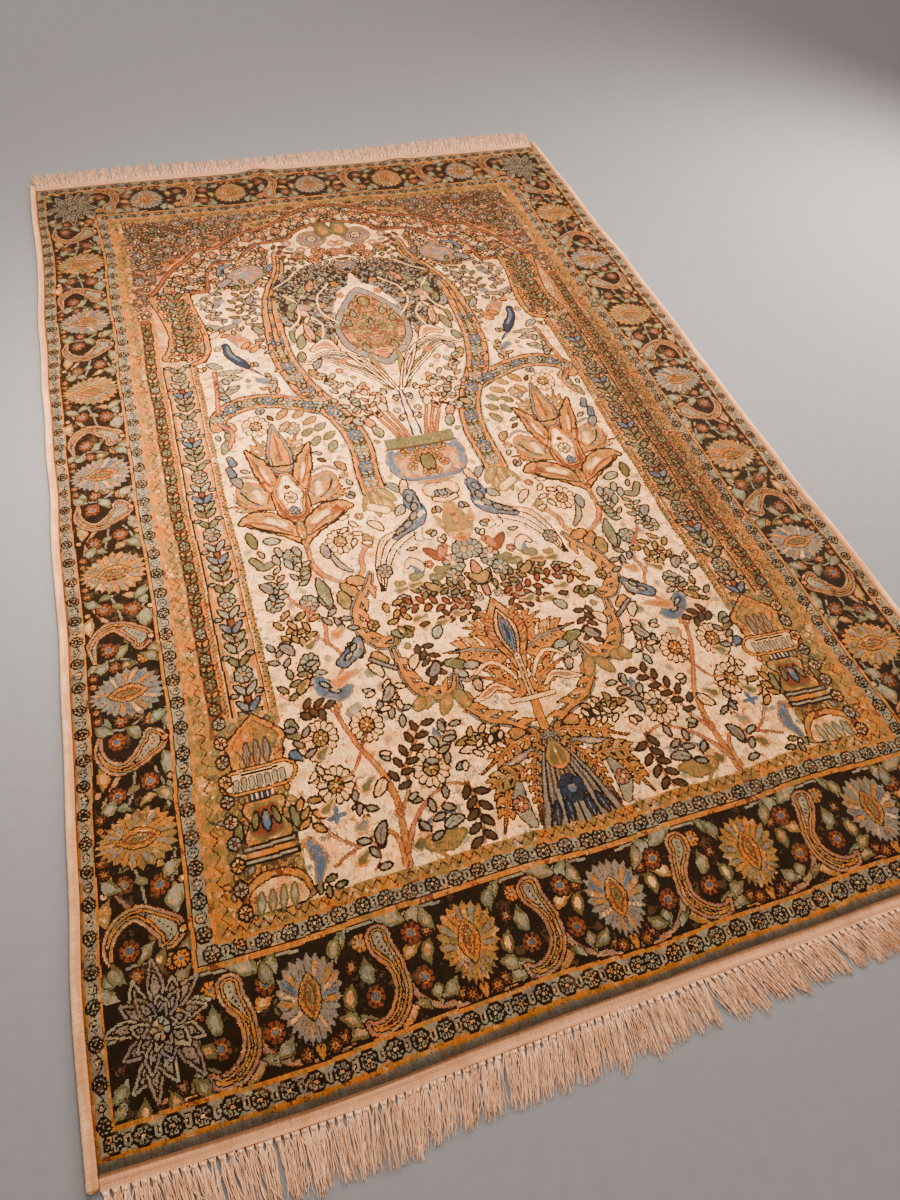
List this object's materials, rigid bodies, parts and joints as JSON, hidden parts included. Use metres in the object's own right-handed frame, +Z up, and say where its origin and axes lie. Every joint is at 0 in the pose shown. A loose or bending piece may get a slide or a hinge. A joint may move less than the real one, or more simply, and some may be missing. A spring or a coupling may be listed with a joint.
{
  "type": "silk rug",
  "caption": "Flat hand-knotted silk prayer rug with an arched vase field, flower borders, overcast long edges, and a flat-woven band with knotted fringe at each end.",
  "frame": {"origin": "on the underside, at the middle of the rug's main border rectangle", "axes": "+X across the rug to the right, +Y along it from the vase's foot to the arch's point, +Z up out of the pile"},
  "size_m": [1.169, 1.9925, 0.0104],
  "materials": {
    "pile": "cut silk pile with a low sheen, knotted in a pattern of rust, gold, sage, ivory, blue and near-black",
    "selvedge": "rounded cord overcast with peach silk",
    "warp": "cream warps, flat-woven in the band and loose in the fringe"
  },
  "bodies": {
    "root": {"pile": "pile", "selvedge_left": "selvedge", "selvedge_right": "selvedge", "end_band_near": "warp", "end_band_far": "warp"}
  },
  "joints": []
}
